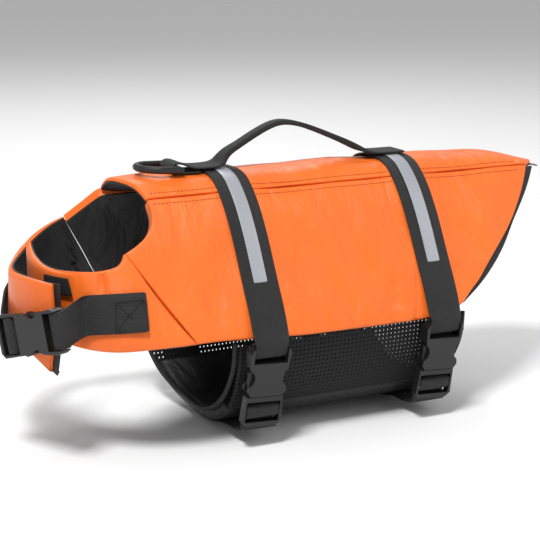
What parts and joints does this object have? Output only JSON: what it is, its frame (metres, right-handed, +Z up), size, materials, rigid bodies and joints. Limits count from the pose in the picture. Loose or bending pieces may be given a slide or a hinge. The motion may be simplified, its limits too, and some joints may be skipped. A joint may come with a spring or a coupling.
{
  "type": "dog life jacket",
  "caption": "Padded dog life jacket in worn form, with chest flaps, mesh belly band, girth straps with side-release buckles, top handle and lead ring.",
  "frame": {"origin": "the point of the back lining that rests on the wearer's back, midway between the two girth straps", "axes": "+X towards the tail, -Y towards the wearer's left side, +Z up from the wearer's back"},
  "size_m": [0.5066, 0.203, 0.2423],
  "materials": {
    "orange_cloth": "coated nylon, soft sheen",
    "black_lining": "smooth lining cloth",
    "black_mesh": "open mesh",
    "black_webbing": "ribbed webbing",
    "black_plastic": "moulded acetal",
    "reflective_tape": "grey reflective"
  },
  "bodies": {
    "jacket": {"back_panel": "orange_cloth", "side_panel_left": "orange_cloth", "side_panel_right": "orange_cloth", "chest_flap_left": "orange_cloth", "chest_flap_right": "orange_cloth", "back_lining": "black_lining", "side_lining_left": "black_lining", "side_lining_right": "black_lining", "chest_lining_left": "black_lining", "chest_lining_right": "black_lining", "belly_pad": "black_lining", "belly_mesh_left": "black_mesh", "belly_mesh_right": "black_mesh", "belly_piping_front": "black_webbing", "belly_piping_rear": "black_webbing", "front_girth_strap": "black_webbing", "rear_girth_strap": "black_webbing", "front_girth_tape": "reflective_tape", "rear_girth_tape": "reflective_tape", "front_girth_buckle_female": "black_plastic", "front_girth_buckle_male": "black_plastic", "rear_girth_buckle_female": "black_plastic", "rear_girth_buckle_male": "black_plastic", "chest_buckle_female": "black_plastic", "chest_buckle_male": "black_plastic", "chest_strap_left": "black_webbing", "chest_strap_right": "black_webbing", "hook_patch": "black_mesh", "handle": "black_webbing"},
    "ring": {"d_ring": "black_plastic"}
  },
  "joints": [
    {"name": "ring_swing", "type": "hinge", "parent": "jacket", "child": "ring", "pos_m": [-0.117, 0, 0.0153], "axis": [0, 1, 0], "range_deg": [0, 140]}
  ]
}
